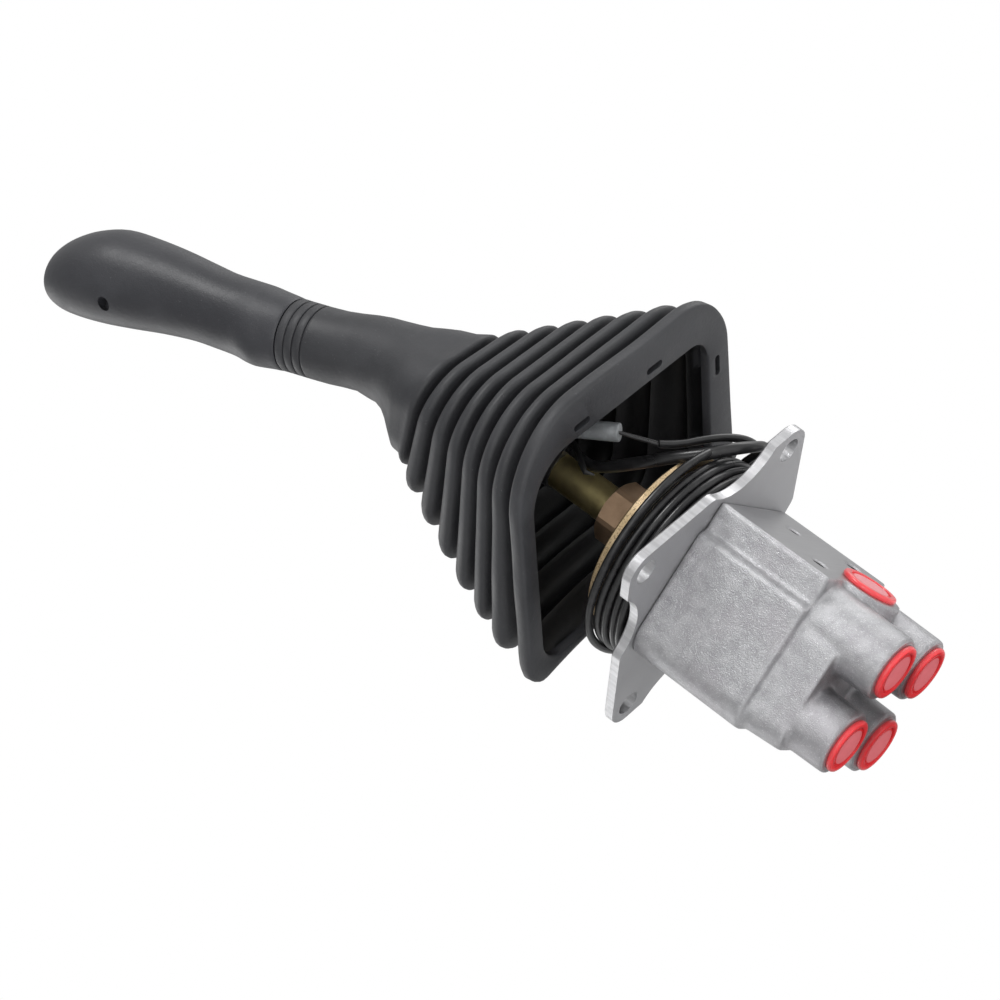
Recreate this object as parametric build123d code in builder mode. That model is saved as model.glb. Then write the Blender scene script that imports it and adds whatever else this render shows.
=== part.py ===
"""Hydraulic pilot joystick valve, in millimetres.

+Z runs up the lever. The origin is the middle of the mounting plate's underside, which is the face
that is bolted down. The four push rods stand on the X and Y axes, so the lever tilts about X and Y.
The casting is turned 45 degrees from the plate: its own x axis points between +X and -Y.
"""

import os
from math import cos, pi, radians, sin, tan

from build123d import *

os.makedirs("parts", exist_ok=True)

# ---- mounting plate
plate_half = 46.0
plate_thickness = 4.0
plate_corner = 8.5
bolt_spacing = 75.0
bolt_hole_radius = 4.75
scallop_radius = 22.0
scallop_depth = 7.0
scallop_centre = 13.0
scallop_end_radius = 5.0
plate_bush_hole = 7.05
plate_centre_hole = 7.2
plate_edge_break = 0.6

# ---- casting, in its own frame turned by casting_turn about Z
casting_turn = -45.0
port_pitch = 30.0
pad_face = 30.0
pad_half = 28.5
pad_thickness = 16.0
pad_hole_depth = 6.5
# depth below the plate, distance across and radius of the blind holes in the pad
pad_holes = ((-15.0, 6.8, 2.2), (-36.5, -15.2, 2.6), (-36.5, 17.6, 2.6))
body_front = 18.5
body_back = -31.5
body_half = 31.5
body_corner = 11.0
front_corner = 2.5
lower_inset_x = 3.0
lower_inset_y = 5.0
lower_corner = 9.0
lower_draft = 4.0
upper_height = 47.0
lower_height = 63.0
boss_height = 78.5
boss_radius = 12.2
boss_root = 12.8
boss_draft = 1.0
side_port_z = -51.0
side_boss_radius = 13.0
side_boss_depth = 16.0
hidden_boss_step = 0.5
port_radius = 5.9
port_depth = 14.0
cross_bore = 6.0
cross_bore_depth = 20.0

# ---- valve chambers, one under each push rod
rod_circle = port_pitch / 2 * 2**0.5
bush_bore = 8.6
bush_depth = 10.0
chamber_bore = 7.5
chamber_floor = -46.0
spool_bore = 3.5
rod_radius = 4.0
running_clearance = 0.03
seat_top = -20.0
seat_thickness = 4.0
washer_z = -34.0
spool_foot = -62.5
spool_overrun = 4.0

# ---- universal joint, swash plate and nuts
pivot_z = 12.5
disc_radius = 34.5
disc_underside = 22.5
disc_thickness = 3.0
rest_gap = 0.05
pin_radius = 2.5
cross_half = 5.0
adjuster_height = 8.0
lock_nut_height = 10.0
adjuster_flats = 24.0
lock_nut_flats = 22.0
stud_radius = 7.0
core_radius = 5.0
core_length = 38.0

# ---- lever, bent towards the back of the casting
bend_z = 131.3
bend_angle = 17.6
bend_radius = 60.0
rod_tube_radius = 6.0
grip_start = 80.0

# ---- rubber boot round the lever: middle of its rim and of its last fold, as along, ahead and side
boot_rim = (-85.4, -19.9, -2.4)
boot_neck = (-8.5, -5.5, 0.0)
boot_rim_half = 58.5
boot_neck_half = 24.3
boot_rim_corner = 20.0
boot_neck_corner = 14.0
boot_turn = 51.2
boot_wall = 2.2
rim_lean = 6.0
rim_roll = 6.7
rim_thickness = 4.0
rim_opening_half = 46.0
rim_opening_corner = 12.0
fold_count = 7
fold_depth = 5.0
neck_radius = 14.0
neck_end = 30.0
neck_swell = 0.6
# along, ahead, tilt and half width of the funnel between the last fold and the neck
funnel = ((0.0, -5.2, 13.0, 22.6), (8.0, -4.0, 7.0, 20.4), (13.0, -2.0, 3.0, 18.6), (30.0, 0.0, 0.0, 14.6))
slot_length = 11.0
slot_width = 2.6
slot_inset = 4.5
slot_offset = 22.0
groove_first = 50.5
groove_pitch = 4.1
groove_count = 4
groove_width = 0.9

# ---- cable
cable_radius = 1.5
coil_inner = 37.3
coil_outer = 40.3
coil_low = 4.0
coil_high = 19.5

stand_on = (Align.CENTER, Align.CENTER, Align.MIN)
hang_from = (Align.CENTER, Align.CENTER, Align.MAX)
top_of_plate = plate_thickness
disc_top = disc_underside + disc_thickness
adjuster_top = disc_top + adjuster_height
lock_top = adjuster_top + lock_nut_height
rod_seats = [(rod_circle, 0), (0, rod_circle), (-rod_circle, 0), (0, -rod_circle)]
rod_names = ["right", "back", "left", "front"]

casting = Plane.XY.rotated((0, 0, casting_turn))


def casting_plane(z):
    """A horizontal plane in the casting's own frame, z above the plate's underside."""
    return casting.offset(z)


def save(part, name):
    """Labels a finished piece and writes it as its own STEP file."""
    part.label = name
    export_step(part, f"parts/{name}.step")


# ---------------------------------------------------------------- mounting plate
with BuildPart() as mounting_plate:
    with BuildSketch(Plane.XY):
        Rectangle(2 * plate_half, 2 * plate_half)
        scallop_offset = plate_half - scallop_depth + scallop_radius
        for turn in range(4):
            angle = radians(-90 * turn)
            x, y = scallop_centre, -scallop_offset
            with Locations((x * cos(angle) - y * sin(angle), x * sin(angle) + y * cos(angle))):
                Circle(scallop_radius, mode=Mode.SUBTRACT)
    extrude(amount=plate_thickness)
    square_corners = [
        e
        for e in mounting_plate.edges().filter_by(Axis.Z)
        if abs(e.center().X) > plate_half - 1 and abs(e.center().Y) > plate_half - 1
    ]
    fillet(square_corners, plate_corner)
    scallop_ends = [
        e
        for e in mounting_plate.edges().filter_by(Axis.Z)
        if min(abs(e.center().X), abs(e.center().Y)) < plate_half - 2 * plate_corner
    ]
    fillet(scallop_ends, scallop_end_radius)
    with GridLocations(bolt_spacing, bolt_spacing, 2, 2):
        Hole(bolt_hole_radius)
    with Locations(rod_seats):
        Hole(plate_bush_hole)
    Hole(plate_centre_hole)
    chamfer(mounting_plate.faces().sort_by(Axis.Z)[-1].outer_wire().edges(), plate_edge_break)
save(mounting_plate.part, "mounting_plate")

# ---------------------------------------------------------------- valve casing
ports = [(sx * port_pitch / 2, sy * port_pitch / 2) for sx in (-1, 1) for sy in (-1, 1)]
body_middle = (body_front + body_back) / 2
body_length = body_front - body_back

with BuildPart() as valve_casing:
    with BuildSketch(casting_plane(0)):
        with Locations((body_middle, 0)):
            RectangleRounded(body_length, 2 * body_half, body_corner)
        with Locations((body_front - body_corner / 2, 0)):
            RectangleRounded(body_corner, 2 * body_half, front_corner)
        with Locations((pad_face - pad_thickness / 2, 0)):
            Rectangle(pad_thickness, 2 * pad_half)
    extrude(amount=-upper_height)
    with BuildSketch(casting_plane(-upper_height)):
        with Locations((body_middle, 0)):
            RectangleRounded(body_length - lower_inset_x, 2 * body_half - lower_inset_y, lower_corner)
    extrude(amount=-(lower_height - upper_height), taper=lower_draft)
    with BuildSketch(casting_plane(-upper_height)):
        with Locations(ports):
            Circle(boss_root)
    extrude(amount=-(boss_height - upper_height), taper=boss_draft)
    flat_middle = casting.from_local_coords((pad_face, 0, side_port_z))
    flat_face = Plane(flat_middle, z_dir=casting.x_dir)
    hidden_middle = casting.from_local_coords((0, body_half + hidden_boss_step, side_port_z))
    hidden_face = Plane(hidden_middle, z_dir=casting.y_dir)
    for face in (flat_face, hidden_face):
        with BuildSketch(face):
            Circle(side_boss_radius)
        extrude(amount=-side_boss_depth)
        with Locations(face):
            Hole(port_radius, depth=port_depth)
    with Locations([casting.from_local_coords((x, y, 0)) for x, y in ports]):
        Hole(bush_bore, depth=bush_depth)
        Hole(chamber_bore, depth=-chamber_floor)
        Hole(spool_bore, depth=spool_overrun - spool_foot)
    with Locations([casting.from_local_coords((x, y, -boss_height)) for x, y in ports]):
        Cylinder(port_radius, port_depth, align=stand_on, mode=Mode.SUBTRACT)
    Cylinder(cross_bore, cross_bore_depth, align=hang_from, mode=Mode.SUBTRACT)
    for depth, across, radius in pad_holes:
        with Locations(Plane(casting.from_local_coords((pad_face, across, depth)), z_dir=casting.x_dir)):
            Hole(radius, depth=pad_hole_depth)
save(valve_casing.part, "valve_casing")

# ---------------------------------------------------------------- transport caps in the ports
cap_flange = 10.3
cap_thickness = 2.0
cap_play = 0.05
cap_wall = 1.6
cap_plug_depth = 7.0
cap_groove_inner = 6.8
cap_groove_outer = 7.6
cap_groove_depth = 0.6


def cap_planes():
    """Planes on the port mouths, each with its z axis out of the valve."""
    down = (0, 0, -1)
    planes = [Plane(casting.from_local_coords((x, y, -boss_height)), z_dir=down) for x, y in ports]
    return planes + [flat_face, hidden_face]


with BuildPart() as port_caps:
    for mouth in cap_planes():
        with BuildSketch(mouth):
            Circle(cap_flange)
        extrude(amount=cap_thickness)
        with BuildSketch(mouth):
            Circle(port_radius - cap_play)
            Circle(port_radius - cap_wall, mode=Mode.SUBTRACT)
        extrude(amount=-cap_plug_depth)
        with BuildSketch(mouth.offset(cap_thickness)):
            Circle(cap_groove_outer)
            Circle(cap_groove_inner, mode=Mode.SUBTRACT)
        extrude(amount=-cap_groove_depth, mode=Mode.SUBTRACT)
save(port_caps.part, "port_caps")

# ---------------------------------------------------------------- guide bushes, O-rings and rod seals
bush_neck = bush_bore - 1.6
bush_top = 10.0
seal_radius = 6.0
seal_floor = 6.5
seal_depth = 5.0
oring_z = -6.0
oring_groove = 1.5
oring_width = 2.4
oring_section = 0.72

with BuildPart() as guide_bushes:
    with Locations([(x, y, -bush_depth) for x, y in rod_seats]):
        Cylinder(bush_bore - running_clearance, bush_depth, align=stand_on)
        Cylinder(bush_neck, bush_depth + bush_top, align=stand_on)
        Cylinder(
            rod_radius + running_clearance,
            bush_depth + bush_top,
            align=stand_on,
            mode=Mode.SUBTRACT,
        )
    with Locations([(x, y, seal_floor) for x, y in rod_seats]):
        Cylinder(seal_radius, seal_depth, align=stand_on, mode=Mode.SUBTRACT)
    with Locations([(x, y, oring_z) for x, y in rod_seats]):
        Cylinder(bush_bore, oring_width, mode=Mode.SUBTRACT)
        Cylinder(bush_bore - oring_groove, oring_width)
        Cylinder(rod_radius + running_clearance, oring_width, mode=Mode.SUBTRACT)
save(guide_bushes.part, "guide_bushes")

with BuildPart() as bush_orings:
    for x, y in rod_seats:
        with BuildSketch(Plane((x, y, oring_z), x_dir=(1, 0, 0), z_dir=(0, -1, 0))):
            with Locations((bush_bore - oring_groove + oring_section, 0)):
                Circle(oring_section)
        revolve(axis=Axis((x, y, 0), (0, 0, 1)))
save(bush_orings.part, "bush_orings")

with BuildPart() as rod_seals:
    for x, y in rod_seats:
        with BuildSketch(Plane((x, y, seal_floor), x_dir=(1, 0, 0), z_dir=(0, -1, 0))):
            with BuildLine():
                Polyline(
                    (seal_radius - 0.02, 0.1),
                    (seal_radius - 0.02, 3.2),
                    (seal_radius - 0.6, 3.4),
                    (rod_radius + 0.9, 1.6),
                    (rod_radius + 0.08, 3.4),
                    (rod_radius + 0.05, 2.6),
                    (rod_radius + 0.5, 0.1),
                    close=True,
                )
            make_face()
        revolve(axis=Axis((x, y, 0), (0, 0, 1)))
save(rod_seals.part, "rod_seals")

# ---------------------------------------------------------------- push rods, seats, springs and spools
rod_top = disc_underside - rest_gap
shoulder_radius = 5.2
shoulder_top = -17.4
spring_gap = 0.1
return_wire = 1.3
return_radius = 6.15
return_turns = 4.5
metering_wire = 0.9
metering_radius = 3.5
metering_turns = 4
seat_rim_height = 1.6
seat_skirt = 4.6
seat_bore = 2.4
washer_thickness = 1.5
spool_head = 2.2
spool_head_top = 4.2
spool_head_foot = 2.7
spool_stem = 1.6
spool_waist = 2.4
spool_land = spool_bore - running_clearance
metering_top = seat_top - seat_thickness - 2


def helix_points(x, y, radius, low, high, turns, per_turn=12):
    """Points of a helix about a vertical line through (x, y)."""
    count = int(turns * per_turn)
    return [
        (
            x + radius * cos(2 * pi * i / per_turn),
            y + radius * sin(2 * pi * i / per_turn),
            low + (high - low) * i / count,
        )
        for i in range(count + 1)
    ]


def spring(x, y, radius, wire, low, high, turns):
    """A compression spring of square wire between two heights."""
    margin = wire / 2 + spring_gap
    points = helix_points(x, y, radius, low + margin, high - margin, turns)
    heading = Vector(*points[1]) - Vector(*points[0])
    with BuildPart() as coil_spring:
        with BuildLine():
            Polyline(*points)
        with BuildSketch(Plane(points[0], x_dir=(0, 0, 1), z_dir=heading)):
            Rectangle(wire, wire)
        sweep(transition=Transition.RIGHT)
    return coil_spring.part


for name, (x, y) in zip(rod_names, rod_seats):
    with BuildPart() as push_rod:
        with BuildSketch(Plane((x, y, 0), x_dir=(1, 0, 0), z_dir=(0, -1, 0))):
            with BuildLine():
                shaft = Polyline(
                    (0, seat_top),
                    (shoulder_radius, seat_top),
                    (shoulder_radius, shoulder_top),
                    (rod_radius, shoulder_top),
                    (rod_radius, rod_top - rod_radius),
                )
                RadiusArc(shaft @ 1, (0, rod_top), -rod_radius)
                Line((0, rod_top), (0, seat_top))
            make_face()
        revolve(axis=Axis((x, y, 0), (0, 0, 1)))
    save(push_rod.part, f"push_rod_{name}")

    with BuildPart() as spring_seat:
        with BuildSketch(Plane((x, y, 0), x_dir=(1, 0, 0), z_dir=(0, -1, 0))):
            with BuildLine():
                Polyline(
                    (0, seat_top),
                    (chamber_bore - 0.4, seat_top),
                    (chamber_bore - 0.4, seat_top - seat_rim_height),
                    (seat_skirt, seat_top - seat_rim_height),
                    (seat_skirt, metering_top),
                    (seat_bore, metering_top),
                    (seat_bore, seat_top - 2.4),
                    (0, seat_top - 2.4),
                    close=True,
                )
            make_face()
        revolve(axis=Axis((x, y, 0), (0, 0, 1)))
    save(spring_seat.part, f"spring_seat_{name}")

    return_high = seat_top - seat_rim_height
    return_spring = spring(x, y, return_radius, return_wire, chamber_floor, return_high, return_turns)
    save(return_spring, f"return_spring_{name}")
    metering_spring = spring(x, y, metering_radius, metering_wire, washer_z, metering_top, metering_turns)
    save(metering_spring, f"metering_spring_{name}")

    with BuildPart() as stop_washer:
        with BuildSketch(Plane((x, y, washer_z), x_dir=(1, 0, 0), z_dir=(0, -1, 0))):
            with Locations(((spool_stem + seat_skirt) / 2, -washer_thickness / 2)):
                Rectangle(seat_skirt - spool_stem, washer_thickness)
        revolve(axis=Axis((x, y, 0), (0, 0, 1)))
    save(stop_washer.part, f"stop_washer_{name}")

    with BuildPart() as spool:
        with BuildSketch(Plane((x, y, 0), x_dir=(1, 0, 0), z_dir=(0, -1, 0))):
            with BuildLine():
                Polyline(
                    (0, washer_z + spool_head_top),
                    (spool_head, washer_z + spool_head_top),
                    (spool_head, washer_z + spool_head_foot),
                    (spool_stem, washer_z + spool_head_foot),
                    (spool_stem, washer_z - washer_thickness),
                    (spool_land, washer_z - washer_thickness),
                    (spool_land, -50),
                    (spool_waist, -51),
                    (spool_waist, -56),
                    (spool_land, -57),
                    (spool_land, spool_foot),
                    (0, spool_foot),
                    close=True,
                )
            make_face()
        revolve(axis=Axis((x, y, 0), (0, 0, 1)))
    save(spool.part, f"spool_{name}")

# ---------------------------------------------------------------- universal joint
ear_inner = 4.9
ear_outer = 8.5
ear_radius = 4.0
bridge = 6.8
cross_pin = pin_radius - 0.5
base_radius = 11.5
base_bore = 7.0
base_plug = 5.95
base_plug_depth = 18.0
yoke_radius = 10.5
cross_block = 9.2
pin_gap = 0.05

with BuildPart() as joint_base:
    with Locations((0, 0, top_of_plate)):
        Cylinder(base_radius, pivot_z - bridge - top_of_plate, align=stand_on)
    Cylinder(base_bore, top_of_plate, align=stand_on)
    Cylinder(base_plug, base_plug_depth, align=hang_from)
    for side in (-1, 1):
        with BuildSketch(Plane.YZ.offset(side * (ear_inner + ear_outer) / 2)):
            with Locations((0, pivot_z)):
                Circle(ear_radius)
            with Locations((0, (pivot_z + pivot_z - bridge) / 2 - 0.2)):
                Rectangle(2 * ear_radius, bridge + 0.4)
            with Locations((0, pivot_z)):
                Circle(cross_pin + running_clearance, mode=Mode.SUBTRACT)
        extrude(amount=(ear_outer - ear_inner) / 2, both=True)
save(joint_base.part, "joint_base")

with BuildPart() as joint_cross:
    with Locations((0, 0, pivot_z)):
        Box(cross_block, cross_block, cross_block)
        Cylinder(cross_pin, 20, rotation=(90, 0, 0), mode=Mode.SUBTRACT)
        Cylinder(cross_pin, 20, rotation=(0, 90, 0), mode=Mode.SUBTRACT)
    chamfer(joint_cross.faces().sort_by(Axis.Z)[-1].outer_wire().edges(), 0.8)
save(joint_cross.part, "joint_cross")

with BuildPart() as cross_pin_long:
    with Locations((0, 0, pivot_z)):
        Cylinder(cross_pin, 2 * ear_outer, rotation=(0, 90, 0))
save(cross_pin_long.part, "cross_pin_long")

with BuildPart() as cross_pins_short:
    with BuildSketch(Plane.XZ.offset(cross_pin + pin_gap)):
        with Locations((0, pivot_z)):
            Circle(cross_pin)
    extrude(amount=ear_outer - cross_pin - pin_gap)
    mirror(about=Plane.XZ)
save(cross_pins_short.part, "cross_pins_short")

with BuildPart() as joint_yoke:
    with Locations((0, 0, pivot_z + bridge)):
        Cylinder(yoke_radius, disc_underside - pivot_z - bridge, align=stand_on)
    with Locations((0, 0, disc_underside)):
        Cylinder(core_radius, core_length, align=stand_on)
    for side in (-1, 1):
        with BuildSketch(Plane.XZ.offset(side * (ear_inner + ear_outer) / 2)):
            with Locations((0, pivot_z)):
                Circle(ear_radius)
            with Locations((0, pivot_z + bridge / 2 + 0.2)):
                Rectangle(2 * ear_radius, bridge + 0.4)
            with Locations((0, pivot_z)):
                Circle(cross_pin + running_clearance, mode=Mode.SUBTRACT)
        extrude(amount=(ear_outer - ear_inner) / 2, both=True)
save(joint_yoke.part, "joint_yoke")

# ---------------------------------------------------------------- swash plate and nuts
with BuildPart() as swash_plate:
    with BuildSketch(Plane.XY.offset(disc_underside)):
        Circle(disc_radius)
        Circle(core_radius, mode=Mode.SUBTRACT)
    extrude(amount=disc_thickness)
    chamfer(swash_plate.edges().filter_by(GeomType.CIRCLE).group_by(SortBy.RADIUS)[-1], 0.5)
save(swash_plate.part, "swash_plate")


def nut(low, height, flats, turn):
    """A hexagon nut with rounded corners, on the lever stud."""
    with BuildPart() as hexagon:
        with BuildSketch(Plane.XY.offset(low)):
            RegularPolygon(flats / 2, 6, major_radius=False, rotation=turn)
            Circle(core_radius, mode=Mode.SUBTRACT)
        extrude(amount=height)
        with BuildSketch(Plane.XZ):
            with BuildLine():
                Polyline(
                    (flats / 2 - 0.2, low),
                    (flats / 2 + 1.2, low + 0.8),
                    (flats / 2 + 1.2, low + height - 0.8),
                    (flats / 2 - 0.2, low + height),
                    (0, low + height),
                    (0, low),
                    close=True,
                )
            make_face()
        revolve(axis=Axis.Z, mode=Mode.INTERSECT)
    return hexagon.part


adjusting_nut = nut(disc_top, adjuster_height, adjuster_flats, 10)
save(adjusting_nut, "adjusting_nut")
lock_nut = nut(adjuster_top, lock_nut_height, lock_nut_flats, 26)
save(lock_nut, "lock_nut")

# ---------------------------------------------------------------- lever
bend = radians(bend_angle)
lean = casting.x_dir * -sin(bend) + Vector(0, 0, cos(bend))
lever = Plane(origin=(0, 0, bend_z), x_dir=casting.x_dir * cos(bend) + Vector(0, 0, sin(bend)), z_dir=lean)


def on_lever(along, ahead=0.0, side=0.0):
    """A point of the bent part of the lever: along it from the bend, ahead and to the side of it."""
    return lever.from_local_coords((ahead, side, along))


rod_end = 148.0
stud_length = 30.0
rod_start = lock_top + 20
with BuildPart() as lever_rod:
    with BuildLine():
        FilletPolyline((0, 0, rod_start), (0, 0, bend_z), on_lever(rod_end), radius=bend_radius)
    with BuildSketch(Plane.XY.offset(rod_start)):
        Circle(rod_tube_radius)
    sweep()
    with Locations((0, 0, lock_top)):
        Cylinder(stud_radius, stud_length, align=stand_on)
        Cylinder(core_radius, disc_underside + core_length - lock_top, align=stand_on, mode=Mode.SUBTRACT)
save(lever_rod.part, "lever_rod")

# ---------------------------------------------------------------- dust boot between plate and swash plate
dust_low = top_of_plate
dust_high = disc_underside - rest_gap
dust_wall = 1.3
dust_radii = [30.5, 35.5, 31.5, 35.5, 31.5, 35.0, 30.5]

with BuildPart() as dust_boot:
    step = (dust_high - dust_low) / (len(dust_radii) - 1)
    outline = [(radius, dust_low + i * step) for i, radius in enumerate(dust_radii)]
    with BuildSketch(Plane.XZ):
        with BuildLine():
            Polyline(*outline, *[(radius - dust_wall, z) for radius, z in reversed(outline)], close=True)
        make_face()
    revolve(axis=Axis.Z)
save(dust_boot.part, "dust_boot")

# ---------------------------------------------------------------- grip, screw and horn button
grip_stations = [
    (grip_start, 0.0, 15.2),
    (92.0, 1.0, 14.7),
    (104.0, 2.1, 15.2),
    (118.0, 2.6, 16.6),
    (132.0, 2.4, 18.0),
    (145.0, 1.9, 18.7),
    (156.0, 0.3, 17.4),
    (165.0, -1.6, 14.8),
    (172.0, -3.3, 10.6),
    (175.8, -4.6, 4.5),
]
screw_along, screw_ahead = 149.6, -9.3
button_along, button_ahead = 138.0, 2.2
button_travel = 2.0
button_floor = 8.0
switch_radius = 8.45
switch_depth = 6.5
bezel_bore = 7.0
bezel_depth = 4.6
button_radius = 6.94
button_depth = 4.3
button_rounding = 0.9
screw_hole = 2.5
screw_radius = 2.45
screw_socket = 1.4


def across_lever(along, ahead, side, outward):
    """A plane square across the lever, facing out of its hidden side or, with -1, its near side."""
    return Plane(on_lever(along, ahead, side), x_dir=lever.x_dir, z_dir=lever.y_dir * outward)


with BuildPart() as grip:
    for along, ahead, radius in grip_stations:
        with BuildSketch(Plane(on_lever(along, ahead), x_dir=lever.x_dir, z_dir=lean)):
            Circle(radius)
    loft()
    with BuildSketch(lever.offset(grip_start)):
        Circle(rod_tube_radius)
    extrude(amount=rod_end - grip_start, mode=Mode.SUBTRACT)
    with BuildSketch(across_lever(screw_along, screw_ahead, -20, 1)):
        Circle(screw_hole)
    extrude(amount=12, mode=Mode.SUBTRACT)
    with BuildSketch(across_lever(button_along, button_ahead, button_floor, 1)):
        Circle(switch_radius + 0.05)
    extrude(amount=20, mode=Mode.SUBTRACT)
save(grip.part, "grip")

with BuildPart() as grip_screw:
    with BuildSketch(across_lever(screw_along, screw_ahead, -8, -1)):
        Circle(screw_radius)
    extrude(amount=3)
    with BuildSketch(across_lever(screw_along, screw_ahead, -11, -1)):
        RegularPolygon(screw_socket, 6)
    extrude(amount=-1.5, mode=Mode.SUBTRACT)
save(grip_screw.part, "grip_screw")

with BuildPart() as horn_switch:
    with BuildSketch(across_lever(button_along, button_ahead, button_floor, 1)):
        Circle(switch_radius)
    extrude(amount=switch_depth)
save(horn_switch.part, "horn_switch")

with BuildPart() as horn_bezel:
    with BuildSketch(across_lever(button_along, button_ahead, button_floor + switch_depth, 1)):
        Circle(switch_radius)
        Circle(bezel_bore, mode=Mode.SUBTRACT)
    extrude(amount=bezel_depth)
save(horn_bezel.part, "horn_bezel")

button_foot = button_floor + switch_depth + button_travel + 0.2
with BuildPart() as horn_button:
    with BuildSketch(across_lever(button_along, button_ahead, button_foot, 1)):
        Circle(button_radius)
    extrude(amount=button_depth)
    fillet(horn_button.faces().sort_by(Axis(lever.origin, lever.y_dir))[-1].edges(), button_rounding)
save(horn_button.part, "horn_button")

# ---------------------------------------------------------------- bellows boot
boot_x = lever.x_dir * cos(radians(boot_turn)) + lever.y_dir * sin(radians(boot_turn))


def boot_plane(along, ahead, side=0.0, tilt=0.0, roll=0.0):
    """A plane across the lever, turned to the boot's sides and tilted from square by two angles."""
    normal = lean + lever.x_dir * tan(radians(tilt)) + lever.y_dir * tan(radians(roll))
    return Plane(on_lever(along, ahead, side), x_dir=boot_x, z_dir=normal)


def fold_section(k, inset, depth=0.0):
    """Plane, half width and corner radius of fold k, which may be a half for a valley."""
    part = k / fold_count
    along, ahead, side = (low + (high - low) * part for low, high in zip(boot_rim, boot_neck))
    tilt = rim_lean + (bend_angle - rim_lean) * part**1.6
    half = boot_rim_half + (boot_neck_half - boot_rim_half) * part - depth - inset
    corner = boot_rim_corner + (boot_neck_corner - boot_rim_corner) * part - depth / 2 - inset
    return boot_plane(along, ahead, side, tilt, rim_roll * (1 - part)), half, corner


def boot_sections(inset):
    """The bellows' crests and valleys, then the funnel up to the neck, with the wall taken off."""
    sections = []
    for k in range(fold_count):
        sections.append(fold_section(k, inset))
        sections.append(fold_section(k + 0.5, inset, fold_depth))
    sections.append(fold_section(fold_count, inset))
    for along, ahead, tilt, half in funnel:
        sections.append((boot_plane(along, ahead, 0, tilt), half - inset, half - inset - 1))
    return sections


with BuildPart() as boot_bellows:
    for inset, mode in ((0, Mode.ADD), (boot_wall, Mode.SUBTRACT)):
        for plane, half, corner in boot_sections(inset):
            with BuildSketch(plane):
                RectangleRounded(2 * half, 2 * half, corner)
        loft(ruled=True, mode=mode)
    rim_plane = fold_section(0, 0)[0]
    with BuildSketch(rim_plane):
        RectangleRounded(2 * boot_rim_half, 2 * boot_rim_half, boot_rim_corner)
        RectangleRounded(2 * rim_opening_half, 2 * rim_opening_half, rim_opening_corner, mode=Mode.SUBTRACT)
        for turn in range(4):
            with PolarLocations(rim_opening_half + slot_inset, 1, start_angle=90 * turn):
                with Locations((0, slot_offset), (0, -slot_offset)):
                    SlotOverall(slot_length, slot_width, rotation=90, mode=Mode.SUBTRACT)
    extrude(amount=-rim_thickness)
    with BuildSketch(lever.offset(neck_end)):
        Circle(neck_radius + neck_swell)
        Circle(neck_radius + neck_swell - boot_wall, mode=Mode.SUBTRACT)
    extrude(amount=grip_start - neck_end)
    for i in range(groove_count):
        with BuildSketch(lever.offset(groove_first + i * groove_pitch)):
            Circle(neck_radius + 2 * neck_swell)
            Circle(neck_radius, mode=Mode.SUBTRACT)
        extrude(amount=groove_width, mode=Mode.SUBTRACT)
save(boot_bellows.part, "boot_bellows")

# ---------------------------------------------------------------- cable
with BuildPart() as cable_coil:
    with BuildSketch(Plane.XY.offset(coil_low)):
        Circle(coil_outer)
        Circle(coil_inner, mode=Mode.SUBTRACT)
    extrude(amount=coil_high - coil_low)
save(cable_coil.part, "cable_coil")

lead_route = [
    (2.7, -9.7, 67.0),
    (2.6, -10.2, 57.5),
    (2.2, -19.0, 46.5),
    (4.6, -28.7, 37.5),
    (11.4, -34.2, 29.0),
    (21.0, -34.4, 25.5),
    (29.6, -29.0, 25.2),
    (33.0, -22.4, 23.0),
    (34.2, -18.4, 19.0),
]
tail_route = [
    (36.8, -12.2, 19.0),
    (36.9, -15.6, 24.6),
    (32.9, -22.3, 28.6),
    (24.7, -29.2, 29.6),
    (16.4, -33.4, 31.6),
    (10.4, -33.6, 35.8),
]


def tube(route, radius):
    """A cable along a route: straight runs and arcs as large as the runs allow."""
    points = [Vector(*point) for point in route]
    radii = []
    for before, here, after in zip(points, points[1:], points[2:]):
        turn = radians((here - before).get_angle(after - here))
        radii.append(0.45 * min((here - before).length, (after - here).length) / tan(turn / 2))
    with BuildPart() as cable:
        with BuildLine():
            FilletPolyline(*points, radius=radii)
        with BuildSketch(Plane(points[0], z_dir=points[1] - points[0])):
            Circle(radius)
        sweep()
    return cable.part


cable_lead = tube(lead_route, cable_radius)
save(cable_lead, "cable_lead")
cable_tail = tube(tail_route, cable_radius)
save(cable_tail, "cable_tail")

connector_start = Vector(0.8, -39.3, 45.7)
connector_end = Vector(-6.3, -35.9, 59.5)
connector_axis = (connector_end - connector_start).normalized()
connector_radius = 3.4
wire_radius = 0.6
wire_bend = 12.0
sleeve_rounding = 0.6

with BuildPart() as connector_sleeve:
    with BuildSketch(Plane(connector_start, z_dir=connector_axis)):
        Circle(connector_radius)
    extrude(amount=(connector_end - connector_start).length)
    fillet(connector_sleeve.edges(), sleeve_rounding)
save(connector_sleeve.part, "connector_sleeve")

with BuildPart() as tail_wires:
    for side in (-1, 1):
        spread = Vector(0.9 * side, 0.9 * side, 0)
        start = Vector(*tail_route[-1]) + Vector(0.7 * side, 0.2 * side, -0.2)
        wire = [start, (start + connector_start) * 0.5 + spread * 1.5, connector_start + spread]
        with BuildLine() as wire_line:
            FilletPolyline(*wire, radius=wire_bend)
        with BuildSketch(Plane(wire[0], z_dir=wire[1] - wire[0])):
            Circle(wire_radius)
        sweep(path=wire_line.line)
save(tail_wires.part, "tail_wires")

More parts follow.
